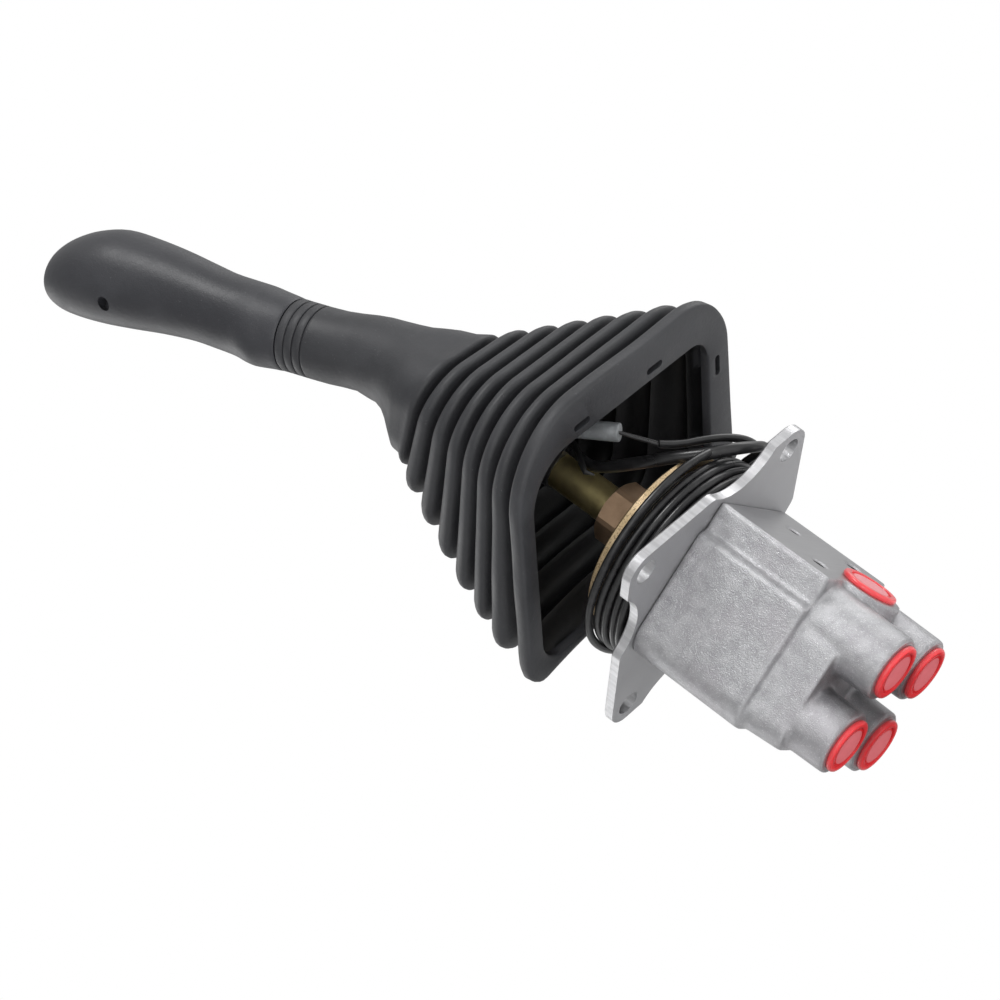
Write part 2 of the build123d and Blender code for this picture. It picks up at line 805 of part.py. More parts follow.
# ---------------------------------------------------------------- cable held along the lever
held_start = Vector(*lead_route[0])
held_heading = (held_start - Vector(*lead_route[1])).normalized()
held_route = [
    tuple(held_start + held_heading * 0.3),
    tuple(held_start + held_heading * 12),
    (4.4, -8.8, 96.0),
    (5.4, -8.2, 118.0),
    tuple(on_lever(14, 9.2, -1.5)),
    tuple(on_lever(45, 9.3, -0.8)),
    tuple(on_lever(grip_start - 0.2, 9.2, 0.2)),
]
held_cable = tube(held_route, cable_radius)
save(held_cable, "held_cable")

tie_z = 69.0
tie_height = 3.0
tie_wall = 1.0
tie_centre = (held_start.X + 0.1, held_start.Y + 0.1)
with BuildPart() as cable_tie:
    with BuildSketch(Plane.XY.offset(tie_z)):
        with Locations((0, 0)):
            Circle(stud_radius + tie_wall)
        with Locations(tie_centre):
            Circle(cable_radius + 1.1 * tie_wall)
        make_hull()
        Circle(stud_radius, mode=Mode.SUBTRACT)
        with Locations(tie_centre):
            Circle(cable_radius + 0.15, mode=Mode.SUBTRACT)
    extrude(amount=tie_height)
save(cable_tie.part, "cable_tie")
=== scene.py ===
import math

import bmesh
import bpy
from mathutils import Matrix, Vector, noise


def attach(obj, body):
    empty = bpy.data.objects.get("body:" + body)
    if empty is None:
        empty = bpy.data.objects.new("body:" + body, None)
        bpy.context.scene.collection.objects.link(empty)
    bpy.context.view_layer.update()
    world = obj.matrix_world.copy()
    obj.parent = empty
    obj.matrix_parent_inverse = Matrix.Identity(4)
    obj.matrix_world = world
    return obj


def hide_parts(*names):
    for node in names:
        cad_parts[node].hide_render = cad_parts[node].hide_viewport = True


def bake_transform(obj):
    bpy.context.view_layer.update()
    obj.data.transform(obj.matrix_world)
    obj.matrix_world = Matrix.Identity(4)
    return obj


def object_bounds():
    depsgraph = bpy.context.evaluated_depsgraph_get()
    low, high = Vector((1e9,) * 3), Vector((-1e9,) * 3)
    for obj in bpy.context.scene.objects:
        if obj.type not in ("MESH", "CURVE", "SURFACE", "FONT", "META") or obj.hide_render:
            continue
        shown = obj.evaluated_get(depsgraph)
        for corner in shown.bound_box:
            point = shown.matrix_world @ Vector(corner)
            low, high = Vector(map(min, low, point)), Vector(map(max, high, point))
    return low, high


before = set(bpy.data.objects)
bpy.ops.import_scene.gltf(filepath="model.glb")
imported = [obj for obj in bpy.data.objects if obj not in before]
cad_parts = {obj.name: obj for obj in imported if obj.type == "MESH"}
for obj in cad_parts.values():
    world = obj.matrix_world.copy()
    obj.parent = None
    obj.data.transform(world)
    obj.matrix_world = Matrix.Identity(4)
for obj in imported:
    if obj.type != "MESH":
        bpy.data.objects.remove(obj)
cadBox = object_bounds()
print("frame loaded")

# the casting stands turned by 45 degrees on the plate
castingX = Vector((1, -1, 0)).normalized()
castingY = Vector((1, 1, 0)).normalized()
up = Vector((0, 0, 1))

lever = {"bendHeight": 0.1313, "bendAngle": math.radians(17.6)}
leverAlong = up * math.cos(lever["bendAngle"]) - castingX * math.sin(lever["bendAngle"])
leverAhead = castingX * math.cos(lever["bendAngle"]) + up * math.sin(lever["bendAngle"])
leverSide = castingY


def axesFrame(x, y, z, place=(0, 0, 0)):
    made = Matrix((x, y, z)).transposed().to_4x4()
    made.translation = place
    return made


leverFrame = axesFrame(leverAhead, leverSide, leverAlong, (0, 0, lever["bendHeight"]))
castingFrame = axesFrame(castingX, castingY, up)


def onLever(along, ahead=0.0, side=0.0):
    return leverFrame @ Vector((ahead, side, along))


# shader maths

class Shade:
    # a socket with arithmetic: each operator adds one Math node
    def __init__(self, tree, link):
        self.tree = tree
        self.link = link

    def node(self, kind, inputs=None, output=0, **settings):
        made = self.tree.nodes.new(kind)
        for name, value in settings.items():
            setattr(made, name, value)
        for name, value in (inputs or {}).items():
            if isinstance(value, Shade):
                self.tree.links.new(value.link, made.inputs[name])
            else:
                made.inputs[name].default_value = value
        return Shade(self.tree, made.outputs[output])

    def maths(self, operation, first, second=None):
        inputs = {0: first}
        if second is not None:
            inputs[1] = second
        return self.node("ShaderNodeMath", inputs, operation=operation)

    def __add__(self, other):
        return self.maths("ADD", self, other)

    def __radd__(self, other):
        return self.maths("ADD", other, self)

    def __sub__(self, other):
        return self.maths("SUBTRACT", self, other)

    def __rsub__(self, other):
        return self.maths("SUBTRACT", other, self)

    def __mul__(self, other):
        return self.maths("MULTIPLY", self, other)

    def __rmul__(self, other):
        return self.maths("MULTIPLY", other, self)

    def __abs__(self):
        return self.maths("ABSOLUTE", self)

    def mixed(self, base, top, factor):
        # a mix of two colours: plain ones are given as three numbers
        colours = [part if isinstance(part, Shade) else (*part, 1) for part in (base, top)]
        inputs = {6: colours[0], 7: colours[1], 0: factor}
        return self.node("ShaderNodeMix", inputs, output=2, data_type="RGBA")

    def dot(self, axis):
        inputs = {0: self, 1: tuple(axis)}
        return self.node("ShaderNodeVectorMath", inputs, output="Value", operation="DOT_PRODUCT")

    def ramp(self, low, high):
        # runs from 0 at low to 1 at high
        return self.node(
            "ShaderNodeMapRange",
            {"Value": self, "From Min": low, "From Max": high},
            interpolation_type="SMOOTHSTEP",
        )


class Finish:
    # one material: gives patterns on Object coordinates and sets the shader's sockets
    def __init__(self, name, **fixed):
        self.material = bpy.data.materials.new(name)
        self.material.use_nodes = True
        self.tree = self.material.node_tree
        self.shader = self.tree.nodes["Principled BSDF"]
        self.start = Shade(self.tree, None)
        self.place = self.start.node("ShaderNodeTexCoord", output="Object")
        for socket, value in fixed.items():
            self.shader.inputs[socket.replace("_", " ")].default_value = value

    def noise(self, scale, detail=3.0, rough=0.55, stretch=None):
        where = self.place
        if stretch:
            where = self.start.node("ShaderNodeMapping", {"Vector": where, "Scale": stretch})
        return self.start.node(
            "ShaderNodeTexNoise",
            {"Vector": where, "Scale": scale, "Detail": detail, "Roughness": rough},
        )

    def along(self, axis):
        # how far a point lies along a fixed direction, in metres
        return self.place.dot(axis)

    def facing(self, axis):
        return self.start.node("ShaderNodeNewGeometry", output="Normal").dot(axis)

    def set(self, **linked):
        for socket, value in linked.items():
            self.tree.links.new(value.link, self.shader.inputs[socket.replace("_", " ")])

    def bump(self, height, distance, strength=1.0):
        inputs = {"Height": height, "Distance": distance, "Strength": strength}
        made = self.start.node("ShaderNodeBump", inputs)
        self.tree.links.new(made.link, self.shader.inputs["Normal"])


# finishes


def rubberFinish(name, colour, dust, rough):
    skin = Finish(name, Specular_IOR_Level=0.42)
    # painted shade: a per-vertex mark of how far the rubber is darkened for shade inside the bellows and in
    # its valleys
    paintedShade = skin.start.node("ShaderNodeAttribute", output="Fac", attribute_name="paintedShade")
    cloud = skin.noise(38, 4).ramp(0.35, 0.72)
    streak = skin.noise(90, 5, 0.65).ramp(0.55, 0.85)
    specks = skin.noise(1500, 2).ramp(0.7, 0.76)
    worn = skin.start.mixed(colour, dust, cloud * 0.45 + streak * 0.35)
    speckled = skin.start.mixed(worn, (0.2, 0.2, 0.21), specks * 0.35)
    # painted shade: the colour goes towards near black where that mark is set
    skin.set(Base_Color=skin.start.mixed(speckled, (0.004, 0.004, 0.0045), paintedShade))
    skin.set(Roughness=rough + 0.12 * cloud - 0.06 * streak)
    skin.bump(skin.noise(2200, 3) + 1.6 * skin.noise(420, 3), 0.00006)
    return skin.material


casting = {
    "voxel": 0.00075,
    "softening": 5,  # rounds of smoothing
    "padFace": 0.030,
    "cutDepth": 0.0784,
    # depth, place across and radius of each pad hole, painted near black as the shade inside it
    "padHoles": ((-0.015, 0.0068, 0.0026), (-0.0365, -0.0152, 0.003), (-0.0365, 0.0176, 0.003)),
}


def castFinish():
    cast = Finish("castAluminium", Metallic=0.85)
    grain = cast.noise(2300, 3, 0.6)
    blotch = cast.noise(230, 4, 0.6)
    stain = cast.noise(48, 4, 0.6).ramp(0.42, 0.7)
    base = cast.start.mixed((0.33, 0.33, 0.342), (0.43, 0.43, 0.442), blotch.ramp(0.3, 0.7))
    stained = cast.start.mixed(base, (0.35, 0.335, 0.355), stain * 0.5)
    sparkled = cast.start.mixed(stained, (0.85, 0.85, 0.86), grain.ramp(0.58, 0.72) * 0.6)
    face = casting["padFace"]
    onPad = cast.along(castingX).ramp(face - 0.0003, face - 0.00015)
    padMask = onPad * cast.facing(castingX).ramp(0.95, 0.99)
    cutMask = cast.along(up * -1).ramp(casting["cutDepth"] - 0.0001, casting["cutDepth"])
    machined = cast.start.maths("MAXIMUM", padMask, cutMask)
    brushed = cast.noise(900, 2, 0.5, (0.05, 0.05, 1.0))
    smooth = cast.start.mixed((0.33, 0.33, 0.34), (0.40, 0.40, 0.41), brushed)
    inPad = cast.along(castingX).ramp(face - 0.0005, face - 0.0008)
    # painted shade: the pad holes are painted near black, standing in for the shade in them
    holeShade = 0
    for depth, across, radius in casting["padHoles"]:
        left = cast.along(castingY) - across
        low = cast.along(up) - depth
        holeShade = inPad * (left * left + low * low).ramp((1.04 * radius) ** 2, (0.96 * radius) ** 2) + holeShade
    coloured = cast.start.mixed(sparkled, smooth, machined)
    cast.set(Base_Color=cast.start.mixed(coloured, (0.02, 0.02, 0.021), holeShade))
    cast.set(Roughness=(0.22 + 0.2 * blotch) * (1 - machined) + 0.34 * machined)
    height = grain + 0.35 * blotch + 0.5 * cast.noise(900, 3, 0.6)
    cast.bump(height * (1 - machined) + 0.05 * brushed * machined, 0.00022)
    return cast.material


def plateFinish():
    plate = Finish("plateAluminium", Metallic=0.85)
    flat = abs(plate.facing(up)).ramp(0.8, 0.95)
    cloud = plate.noise(60, 4)
    fine = plate.noise(2400, 2)
    chatter = plate.noise(700, 2, 0.5, (1.0, 1.0, 0.08))
    face = plate.start.mixed((0.31, 0.31, 0.32), (0.37, 0.37, 0.38), cloud)
    edge = plate.start.mixed((0.42, 0.42, 0.43), (0.6, 0.6, 0.61), chatter.ramp(0.2, 0.95))
    plate.set(Base_Color=plate.start.mixed(edge, face, flat))
    plate.set(Roughness=0.3 + 0.16 * flat + 0.06 * fine)
    plate.bump(fine * 0.4 + 0.35 * chatter * (1 - flat), 0.0002)
    return plate.material


def capFinish():
    cap = Finish("capPlastic", Roughness=0.3, Specular_IOR_Level=0.5, Coat_Weight=0.3, Coat_Roughness=0.12)
    cloud = cap.noise(120, 3)
    cap.set(Base_Color=cap.start.mixed((0.60, 0.035, 0.042), (0.70, 0.06, 0.07), cloud))
    cap.bump(cap.noise(900, 2), 0.00003)
    return cap.material


def capDiscFinish():
    disc = Finish("capDiscSheen", Roughness=0.42, Specular_IOR_Level=0.5)
    cloud = disc.noise(260, 3)
    # painted sheen: the disc is the caps' red plastic made lighter and pinker, as its flat face shines
    disc.set(Base_Color=disc.start.mixed((0.60, 0.19, 0.21), (0.70, 0.27, 0.29), cloud))
    disc.bump(disc.noise(700, 3), 0.00005)
    return disc.material


def steelFinish(name, low, high, rough, speckle=0.0):
    steel = Finish(name, Metallic=1.0)
    cloud = steel.noise(90, 4)
    fine = steel.noise(1800, 3)
    colour = steel.start.mixed(low, high, cloud.ramp(0.3, 0.7))
    if speckle:
        colour = steel.start.mixed(colour, (0.16, 0.11, 0.07), fine.ramp(0.5, 0.66) * speckle)
    steel.set(Base_Color=colour)
    steel.set(Roughness=rough + 0.14 * cloud)
    steel.bump(fine, 0.00005)
    return steel.material


def plasticFinish(name, colour, rough, streaked=False):
    plastic = Finish(name, Specular_IOR_Level=0.5)
    stretch = (1.0, 1.0, 0.2) if streaked else None
    cloud = plastic.noise(300, 3, 0.6, stretch)
    lighter = tuple(min(1, 1.5 * part + 0.006) for part in colour)
    plastic.set(Base_Color=plastic.start.mixed(colour, lighter, cloud.ramp(0.35, 0.75)))
    plastic.set(Roughness=rough + 0.1 * cloud)
    plastic.bump(plastic.noise(1400, 2), 0.00003)
    return plastic.material


finishes = {
    "boot": rubberFinish("bootRubber", (0.018, 0.0185, 0.021), (0.036, 0.037, 0.041), 0.46),
    "grip": rubberFinish("gripRubber", (0.019, 0.0195, 0.023), (0.036, 0.037, 0.042), 0.4),
    "seal": plasticFinish("sealRubber", (0.012, 0.012, 0.013), 0.5),
    "cast": castFinish(),
    "plate": plateFinish(),
    "cap": capFinish(),
    "capDisc": capDiscFinish(),
    "steel": steelFinish("turnedSteel", (0.42, 0.42, 0.43), (0.6, 0.6, 0.6), 0.28),
    "zincYellow": steelFinish("yellowZinc", (0.33, 0.27, 0.13), (0.5, 0.42, 0.2), 0.34),
    "zincBrown": steelFinish("brownZinc", (0.24, 0.16, 0.1), (0.38, 0.26, 0.17), 0.4),
    "discZinc": steelFinish("discZinc", (0.5, 0.38, 0.22), (0.72, 0.56, 0.36), 0.36, 0.75),
    "jacket": plasticFinish("cableJacket", (0.006, 0.006, 0.0065), 0.24, True),
    "sleeve": plasticFinish("greySleeve", (0.10, 0.106, 0.11), 0.35),
    "black": plasticFinish("blackPlastic", (0.01, 0.01, 0.011), 0.34),
}
print("finishes made")

nodeFinish = {
    "valve_casing": "cast",
    "mounting_plate": "plate",
    "port_caps": "cap",
    "guide_bushes": "steel",
    "joint_base": "steel",
    "joint_cross": "steel",
    "cross_pin_long": "steel",
    "cross_pins_short": "steel",
    "joint_yoke": "steel",
    "swash_plate": "discZinc",
    "adjusting_nut": "zincBrown",
    "lock_nut": "zincBrown",
    "lever_rod": "zincYellow",
    "grip_screw": "black",
    "horn_switch": "black",
    "horn_bezel": "black",
    "horn_button": "black",
    "cable_tie": "black",
    "boot_bellows": "boot",
    "grip": "grip",
    "connector_sleeve": "sleeve",
    "tail_wires": "jacket",
    "held_cable": "jacket",
    "cable_lead": "jacket",
    "cable_coil": "jacket",
    "cable_tail": "jacket",
}
# every other node is a rubber seal, apart from these, which come once for each valve
valveNodes = ("push_rod", "spring_seat", "return_spring", "metering_spring", "spool", "stop_washer")
for nodeName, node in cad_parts.items():
    kind = nodeFinish.get(nodeName)
    if kind is None:
        kind = "steel" if nodeName.startswith(valveNodes) else "seal"
    for slot in node.material_slots:
        slot.material = finishes[kind]
    if not node.material_slots:
        node.data.materials.append(finishes[kind])
print("CAD nodes finished")

# camera, lights and floor

bpy.context.scene.view_settings.view_transform = "Standard"

view = {
    "eye": (-0.56341, -0.84835, -0.36776),
    "right": (0.67942, -0.04849, -0.73214),
    "up": (0.54628, -0.63273, 0.54885),
    "lens": 111.62,
}


def addCamera():
    data = bpy.data.cameras.new("camera")
    data.lens = view["lens"]
    data.sensor_width = 36
    data.clip_end = 20
    camera = bpy.data.objects.new("camera", data)
    bpy.context.collection.objects.link(camera)
    right, top = Vector(view["right"]).normalized(), Vector(view["up"]).normalized()
    back = right.cross(top)
    camera.matrix_world = axesFrame(right, top, back, view["eye"])
    bpy.context.scene.camera = camera


addCamera()

# each lamp: place, size across and power
lamps = {
    "key": ((-0.95, -1.15, -0.35), 1.1, 15),
    "below": ((0.5, -0.7, -1.3), 0.9, 11),
    "side": ((1.4, -0.5, 0.7), 1.0, 7),
    "above": ((-0.1, -1.3, 1.2), 0.5, 12),
    "back": ((-0.6, 1.4, 1.0), 1.2, 7),
}
# the world's light, how metal mirrors the backdrop, and the floor
studio = {
    "light": 0.5, "mirrorFrom": 0.0, "mirrorTo": 0.8, "mirrorLess": 0.3,
    "floorSize": 6, "floorGap": 0.0004,
}


def addLamps():
    middle = Vector((0, 0, 0.1))
    for name, (place, size, power) in lamps.items():
        data = bpy.data.lights.new(name, "AREA")
        data.size = size
        data.energy = power
        lamp = bpy.data.objects.new(name, data)
        bpy.context.collection.objects.link(lamp)
        lamp.location = place
        lamp.rotation_euler = (Vector(place) - middle).to_track_quat("Z", "Y").to_euler()


addLamps()


def addWorld():
    world = bpy.data.worlds.new("studio")
    bpy.context.scene.world = world
    world.use_nodes = True
    tree = world.node_tree
    start = Shade(tree, None)
    seen, mirrored, through = (
        start.node("ShaderNodeLightPath", output=ray)
        for ray in ("Is Camera Ray", "Is Glossy Ray", "Is Transmission Ray")
    )
    # what metal mirrors of the backdrop is brightest along the view's up direction
    height = start.node("ShaderNodeTexCoord", output="Generated").dot(view["up"])
    glow = height.ramp(studio["mirrorFrom"], studio["mirrorTo"]) - studio["mirrorLess"]
    shown = start.maths("MAXIMUM", start.maths("MAXIMUM", seen, mirrored * glow), through)
    backdrop = tree.nodes["Background"]
    backdrop.inputs["Color"].default_value = (1, 1, 1, 1)
    strength = studio["light"] + (1 - studio["light"]) * shown
    tree.links.new(strength.link, backdrop.inputs["Strength"])


addWorld()


def addFloor():
    # seen from below, and by the lamps below, the floor lets light through
    data = bpy.data.meshes.new("floor")
    mesh = bmesh.new()
    bmesh.ops.create_grid(mesh, x_segments=1, y_segments=1, size=studio["floorSize"])
    bmesh.ops.translate(mesh, vec=(0, 0, cadBox[0][2] - studio["floorGap"]), verts=mesh.verts)
    mesh.to_mesh(data)
    mesh.free()
    floor = bpy.data.objects.new("floor", data)
    bpy.context.collection.objects.link(floor)
    material = bpy.data.materials.new("paleFloor")
    material.use_nodes = True
    tree = material.node_tree
    start = Shade(tree, None)
    shader = tree.nodes["Principled BSDF"]
    shader.inputs["Base Color"].default_value = (0.9, 0.9, 0.9, 1)
    shader.inputs["Roughness"].default_value = 0.8
    clear = start.node("ShaderNodeBsdfTransparent")
    below = start.node("ShaderNodeNewGeometry", output="Backfacing")
    shadow = start.node("ShaderNodeLightPath", output="Is Shadow Ray")
    lightThrough = start.maths("MAXIMUM", below, shadow)
    mix = start.node("ShaderNodeMixShader", {0: lightThrough, 1: Shade(tree, shader.outputs[0]), 2: clear})
    tree.links.new(mix.link, tree.nodes["Material Output"].inputs["Surface"])
    data.materials.append(material)


addFloor()
print("camera, lamps and floor placed")


# small modelling helpers


def finishPiece(name, mesh, body, finish, smoothBelow=40, replaced=()):
    bmesh.ops.remove_doubles(mesh, verts=mesh.verts, dist=1e-6)
    bmesh.ops.recalc_face_normals(mesh, faces=mesh.faces)
    data = bpy.data.meshes.new(name)
    mesh.to_mesh(data)
    mesh.free()
    data.materials.append(finishes[finish])
    data.shade_smooth()
    data.set_sharp_from_angle(angle=math.radians(smoothBelow))
    piece = bpy.data.objects.new(name, data)
    bpy.context.collection.objects.link(piece)
    if body:
        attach(piece, body)
    if replaced:
        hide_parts(*replaced)
    return piece


def boxReach(angle, wide, deep, corner):
    # how far a rounded rectangle reaches from its middle in one direction
    c, s = abs(math.cos(angle)), abs(math.sin(angle))
    innerWide, innerDeep = wide - corner, deep - corner
    if wide * s <= innerDeep * c:
        return wide / c
    if deep * c <= innerWide * s:
        return deep / s
    across = innerWide * s - innerDeep * c
    return innerWide * c + innerDeep * s + math.sqrt(max(0, corner**2 - across**2))


def addRing(mesh, frameAt, half, corner, count):
    # a rounded square or, with its corner as large as its half, a circle
    made = bmesh.ops.create_circle(mesh, segments=count, radius=1)["verts"]
    for vert in made:
        angle = math.atan2(vert.co.y, vert.co.x)
        vert.co = vert.co.normalized() * boxReach(angle, half, half, corner)
        vert.co = frameAt @ vert.co
    return made


def ringEdges(verts):
    found = set(verts)
    return [edge for vert in verts for edge in vert.link_edges if edge.other_vert(vert) in found]


def bridgeRings(mesh, rings):
    for low, high in zip(rings, rings[1:]):
        edges = list(set(ringEdges(low)) | set(ringEdges(high)))
        bmesh.ops.bridge_loops(mesh, edges=edges)


def cadCopy(nodeName):
    # a merged copy of a CAD node's mesh, to be finished as a piece of its own
    mesh = bmesh.new()
    mesh.from_mesh(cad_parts[nodeName].data)
    bmesh.ops.remove_doubles(mesh, verts=mesh.verts, dist=1e-6)
    return mesh


def modified(piece, kind, **settings):
    # adds one modifier and applies it to the piece's mesh
    modifier = piece.modifiers.new(kind.lower(), kind)
    for name, value in settings.items():
        setattr(modifier, name, value)
    depsgraph = bpy.context.evaluated_depsgraph_get()
    data = bpy.data.meshes.new_from_object(piece.evaluated_get(depsgraph))
    piece.modifiers.clear()
    old = piece.data
    piece.data = data
    bpy.data.meshes.remove(old)


def spun(profile, place, axis, steps=64):
    # turns a profile of (radius, height) points about an axis
    mesh = bmesh.new()
    side = axis.orthogonal().normalized()
    verts = [mesh.verts.new(place + side * radius + axis * height) for radius, height in profile]
    edges = [mesh.edges.new(pair) for pair in zip(verts, verts[1:])]
    bmesh.ops.spin(
        mesh, geom=verts + edges, cent=place, axis=axis, angle=2 * math.pi, steps=steps, use_merge=True
    )
    bmesh.ops.remove_doubles(mesh, verts=mesh.verts, dist=1e-6)
    return mesh


def cutAway(piece, mesh):
    data = bpy.data.meshes.new("cutter")
    mesh.to_mesh(data)
    mesh.free()
    tool = bpy.data.objects.new("cutter", data)
    bpy.context.collection.objects.link(tool)
    modified(piece, "BOOLEAN", object=tool, operation="DIFFERENCE", solver="EXACT")
    bpy.data.objects.remove(tool)
    bpy.data.meshes.remove(data)


def between(low, high, part):
    return low + (high - low) * part


def quarter(c, s):
    # which corner of a rounded square a direction points to
    return (0 if s < 0 else 2) + (0 if c < 0 else 1)


# casting, softened at its edges as a casting is


def makeCasting():
    mesh = cadCopy("valve_casing")
    piece = finishPiece("casting", mesh, "root", "cast", 60, ["valve_casing"])
    modified(piece, "REMESH", mode="VOXEL", voxel_size=casting["voxel"], use_smooth_shade=True)
    mesh = bmesh.new()
    mesh.from_mesh(piece.data)
    for _ in range(casting["softening"]):
        bmesh.ops.smooth_vert(
            mesh, verts=mesh.verts, factor=0.5, use_axis_x=True, use_axis_y=True, use_axis_z=True
        )
    mesh.to_mesh(piece.data)
    mesh.free()
    if not piece.data.materials:
        piece.data.materials.append(finishes["cast"])
    piece.data.shade_smooth()


makeCasting()
print("casting made")

# rubber bellows

boot = {
    "rim": (-0.0854, -0.0199, -0.0024),
    "neck": (-0.0085, -0.0055, 0.0),
    "rimHalf": 0.0585,
    "neckHalf": 0.0243,
    "corners": (0.034, 0.024, 0.010, 0.018),
    "neckCorners": (0.018, 0.017, 0.012, 0.014),
    "turn": math.radians(51.2),
    "rimLean": math.radians(6.0),
    "rimRoll": math.radians(6.7),
    "rimThick": 0.004,
    "opening": (0.0504, 0.047, 0.0415, 0.0435),
    "openingCorners": (0.020, 0.009, 0.009, 0.010),
    "folds": 7,
    "depth": 0.0074,
    "wall": 0.0022,
    "sag": 0.0058,
    "farPull": 0.0077,
    "farLift": 0.0055,
    "wider": 0.0032,
    "pullFolds": 3.2,  # folds over which the far side is drawn in
    "waviness": 0.010,
    "cornerDip": 0.0015,  # corners are sharper in the valleys
    "leastCorner": 0.003,
    # painted shade in the fold valleys, as a share of the full darkening
    "valleyShade": 0.8,
    "sides": 240,
    # turn in quarters, distance out, distance across
    "slots": (
        (3, 0.0462, 0.0165), (3, 0.0462, -0.0235),
        (0, 0.0520, -0.0262), (0, 0.0520, 0.018),
        (1, 0.0478, 0.02), (1, 0.0478, -0.02),
    ),
    "slotSize": (0.0026, 0.0085, 0.009),
    "slotRound": 0.0012,
    # how far in, and how far above the rim's lower face
    "rimEdge": ((0, 0.0012), (0.0004, 0.0003), (0.0014, 0)),
}


def bootPlane(along, ahead, side=0.0, tilt=0.0, roll=0.0):
    z = (leverAlong + leverAhead * math.tan(tilt) + leverSide * math.tan(roll)).normalized()
    x = leverAhead * math.cos(boot["turn"]) + leverSide * math.sin(boot["turn"])
    y = z.cross(x).normalized()
    x = y.cross(z)
    return axesFrame(x, y, z, onLever(along, ahead, side))


def foldPlane(k):
    part = k / boot["folds"]
    along, ahead, side = (between(low, high, part) for low, high in zip(boot["rim"], boot["neck"]))
    tilt = between(boot["rimLean"], lever["bendAngle"], part**1.6)
    return bootPlane(along, ahead, side, tilt, boot["rimRoll"] * (1 - part))


def foldRing(mesh, k, inset=0.0, dip=0.0, push=0.0):
    # one ring of the bellows: its corners differ, and its far side is drawn in and leans up
    part = k / boot["folds"]
    half = between(boot["rimHalf"], boot["neckHalf"], part) - boot["depth"] * dip - inset
    plane = foldPlane(k) @ Matrix.Translation((0, 0, push))
    made = bmesh.ops.create_circle(mesh, segments=boot["sides"], radius=1)["verts"]
    near = max(0, 1 - part * 1.6) ** 2
    pulled = boot["farPull"] * max(0, 1 - k / boot["pullFolds"])
    lifted = boot["farLift"] * min(1, k) ** 2 * (3 - 2 * min(1, k)) * (1 - 0.75 * max(0, k - 6) ** 1.5)
    for vert in made:
        angle = math.atan2(vert.co.y, vert.co.x)
        c, s = math.cos(angle), math.sin(angle)
        which = quarter(c, s)
        corner = between(boot["corners"][which], boot["neckCorners"][which], part)
        corner = max(corner - boot["cornerDip"] * dip - inset, boot["leastCorner"])
        reach = boxReach(angle, half, half, corner)
        wave = 1 + boot["waviness"] * (1 - part) * noise.noise(Vector((2.1 * c, 2.1 * s, 0.9 * k)))
        x, y = reach * c * wave, reach * s * wave
        far = (y / half + 1) / 2
        if x > 0:
            x += boot["wider"] * near * far * x / half
        if y > 0:
            y -= (pulled + boot["sag"] * near * max(0, 1 - (x / (0.9 * half)) ** 2)) * y / half
        vert.co = plane @ Vector((x, y, lifted * far))
    return made


def openingRing(mesh, grow, push):
    # the rim's opening lies off the middle, with its own corners
    left, right, low, high = boot["opening"]
    made = bmesh.ops.create_circle(mesh, segments=boot["sides"], radius=1)["verts"]
    plane = foldPlane(0) @ Matrix.Translation((0, 0, push))
    for vert in made:
        angle = math.atan2(vert.co.y, vert.co.x)
        c, s = math.cos(angle), math.sin(angle)
        which = quarter(c, s)
        wide, deep = (right if c > 0 else left) + grow, (high if s > 0 else low) + grow
        vert.co = plane @ (vert.co.normalized() * boxReach(angle, wide, deep, boot["openingCorners"][which]))
    return made


def foldDip(step):
    # a broad rounded crest and a narrow valley halfway to the next
    return 0.72 * math.exp(-(((step - 0.5) / 0.14) ** 2)) + 0.28 * math.sin(math.pi * step) ** 2


funnel = [
    # along, ahead, tilt in degrees, half and corner
    (-0.0045, -0.0058, 15.5, 0.0229, 0.0150),
    (0.0005, -0.0053, 12.5, 0.0225, 0.0165),
    (0.0045, -0.0040, 9.5, 0.0209, 0.0170),
    (0.0085, -0.0025, 6.5, 0.0190, 0.0170),
    (0.0130, -0.0007, 3.5, 0.0173, 0.0166),
    (0.0185, 0.0006, 1.0, 0.0160, 0.0159),
    (0.0235, 0.0010, 0, 0.0155, 0.0154),
    (0.0290, 0.0014, 0, 0.0146, 0.0146),
    (0.0355, 0.0008, 0, 0.0142, 0.0142),
    (0.0420, 0.0002, 0, 0.01405, 0.01405),
    (0.0495, 0.0, 0, 0.0140, 0.0140),
]
neck = {
    "grooveFirst": 0.0503, "groovePitch": 0.00375, "grooves": 3, "width": 0.0006, "depth": 0.0006,
    "end": 0.0618,
}


def neckRings():
    # place along the lever and radius: each groove, then the neck's open end
    width, depth, end = neck["width"], neck["depth"], neck["end"]
    groove = (
        (-0.0002, 0), (0, -0.00012), (0.0001, -depth), (width, -depth), (width + 0.0001, -0.00012),
        (width + 0.0003, 0),
    )
    starts = [neck["grooveFirst"] + neck["groovePitch"] * i for i in range(neck["grooves"])]
    rings = [(start + step, 0.014 + swell) for start in starts for step, swell in groove]
    return rings + [(end - 0.0003, 0.01405), (end, 0.01385), (end, 0.0125)]


def slotCutters():
    # slots through the flange, two in each of three sides
    mesh = bmesh.new()
    for turn, reach, across in boot["slots"]:
        made = bmesh.ops.create_cube(mesh, size=1)["verts"]
        bmesh.ops.scale(mesh, vec=boot["slotSize"], verts=made)
        edges = list({edge for vert in made for edge in vert.link_edges})
        upright = [edge for edge in edges if abs(edge.verts[0].co.z - edge.verts[1].co.z) > 0.005]
        rounded = bmesh.ops.bevel(
            mesh, geom=upright, offset=boot["slotRound"], segments=4, affect="EDGES", profile=0.5, material=-1
        )["verts"]
        whole = list(set(vert for vert in made if vert.is_valid) | set(rounded))
        turned = Matrix.Rotation(turn * math.pi / 2, 4, "Z")
        place = foldPlane(0) @ turned @ Matrix.Translation((reach, across, 0))
        bmesh.ops.transform(mesh, matrix=place, verts=whole)
    return mesh


